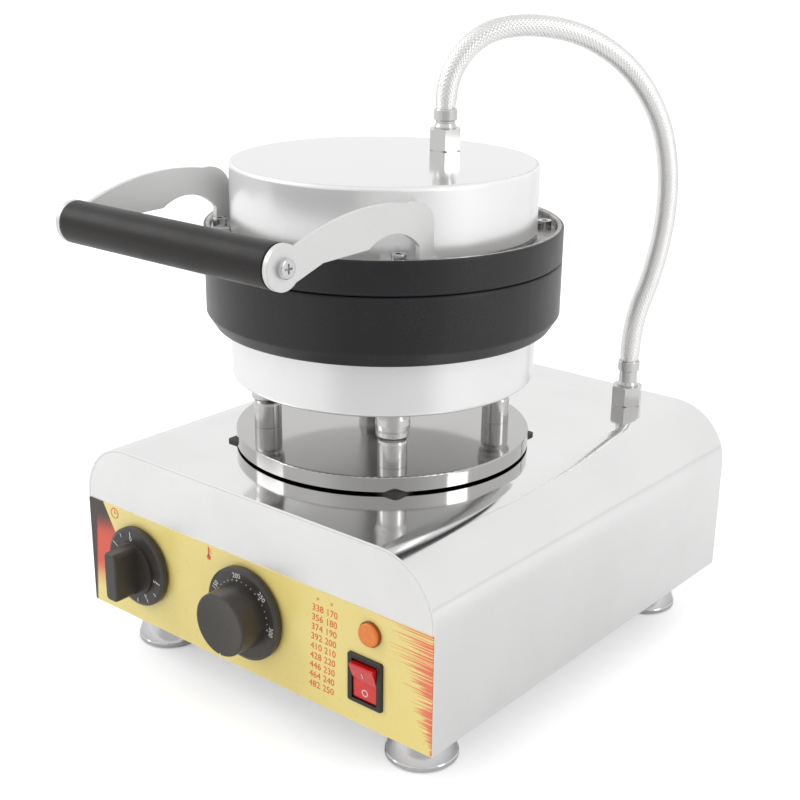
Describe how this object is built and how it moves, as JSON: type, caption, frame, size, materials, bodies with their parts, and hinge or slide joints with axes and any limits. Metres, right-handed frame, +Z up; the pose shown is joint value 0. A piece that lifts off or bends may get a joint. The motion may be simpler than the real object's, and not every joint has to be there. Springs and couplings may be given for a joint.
{
  "type": "waffle bowl maker",
  "caption": "Countertop waffle bowl cooker: steel control base, round hinged cooking head with a ribbed bowl cavity and plug, front handle bar and a braided hose to the lid.",
  "frame": {"origin": "on the floor under the middle of the footprint, from the handle bar to the cable gland", "axes": "+X right along the control panel, +Y to the back, +Z up"},
  "size_m": [0.29, 0.3964, 0.4078],
  "materials": {
    "polished_steel": "polished",
    "brushed_steel": "satin",
    "zinc_steel": "satin",
    "heater_sheath": "satin",
    "cast_black": "satin",
    "printed_film": "gloss",
    "black_plastic": "satin",
    "rubber": "matte",
    "gasket_fibre": "matte",
    "insulation": "matte",
    "bakelite": "satin",
    "red_plastic": "gloss",
    "amber_plastic": "gloss",
    "nickel_brass": "polished",
    "braided_steel": "satin"
  },
  "bodies": {
    "base": {"base_shell": "brushed_steel", "front_panel": "brushed_steel", "fascia_decal": "printed_film", "rear_panel": "brushed_steel", "bottom_plate": "brushed_steel", "bottom_screws": "zinc_steel", "foot_front_left": "polished_steel", "foot_front_right": "polished_steel", "foot_rear_left": "polished_steel", "foot_rear_right": "polished_steel", "foot_pads": "rubber", "foot_bolts": "zinc_steel", "heat_gasket": "gasket_fibre", "support_disc": "polished_steel", "post_front_left": "polished_steel", "post_front_right": "polished_steel", "post_rear_left": "polished_steel", "post_rear_right": "polished_steel", "post_bolts": "zinc_steel", "lower_drum": "polished_steel", "lower_mould": "cast_black", "lower_heater": "heater_sheath", "lower_clamp_plate": "zinc_steel", "lower_wool": "insulation", "sensor_bulb": "zinc_steel", "hinge_bracket_lower": "zinc_steel", "hinge_screws_lower": "zinc_steel", "hinge_pin": "zinc_steel", "base_hose_stub": "nickel_brass", "base_hose_nut": "nickel_brass", "base_ferrule": "nickel_brass", "hose": "braided_steel", "timer_body": "black_plastic", "thermostat_body": "black_plastic", "lamp_body": "black_plastic", "lamp_lens": "amber_plastic", "switch_housing": "black_plastic", "terminal_block": "black_plastic", "cable_gland": "black_plastic"},
    "lid": {"upper_mould": "cast_black", "lid_cover": "polished_steel", "upper_heater": "heater_sheath", "upper_clamp_plate": "zinc_steel", "lid_wool": "insulation", "cap_screws": "zinc_steel", "handle_arm_left": "brushed_steel", "handle_arm_right": "brushed_steel", "handle_bar": "bakelite", "handle_screws": "polished_steel", "hinge_bracket_upper": "zinc_steel", "hinge_screws_upper": "zinc_steel", "lid_hose_stub": "nickel_brass", "lid_hose_nut": "nickel_brass", "lid_ferrule": "nickel_brass"},
    "timer_dial": {"timer_knob": "black_plastic", "timer_shaft": "zinc_steel"},
    "thermostat_dial": {"thermostat_knob": "black_plastic", "thermostat_shaft": "zinc_steel"},
    "rocker": {"switch_rocker": "red_plastic"}
  },
  "joints": [
    {"name": "lid_hinge", "type": "hinge", "parent": "base", "child": "lid", "pos_m": [0, 0.10875, 0.2735], "axis": [-1, 0, 0], "range_deg": [0, 95], "deforming": ["hose"]},
    {"name": "timer_turn", "type": "hinge", "parent": "base", "child": "timer_dial", "pos_m": [-0.094, -0.14175, 0.0708], "axis": [0, 1, 0], "range_deg": [0, 300]},
    {"name": "thermostat_turn", "type": "hinge", "parent": "base", "child": "thermostat_dial", "pos_m": [0.003, -0.14175, 0.0708], "axis": [0, 1, 0], "range_deg": [0, 270]},
    {"name": "switch_rock", "type": "hinge", "parent": "base", "child": "rocker", "pos_m": [0.097, -0.14075, 0.0592], "axis": [-1, 0, 0], "range_deg": [0, 22]}
  ]
}
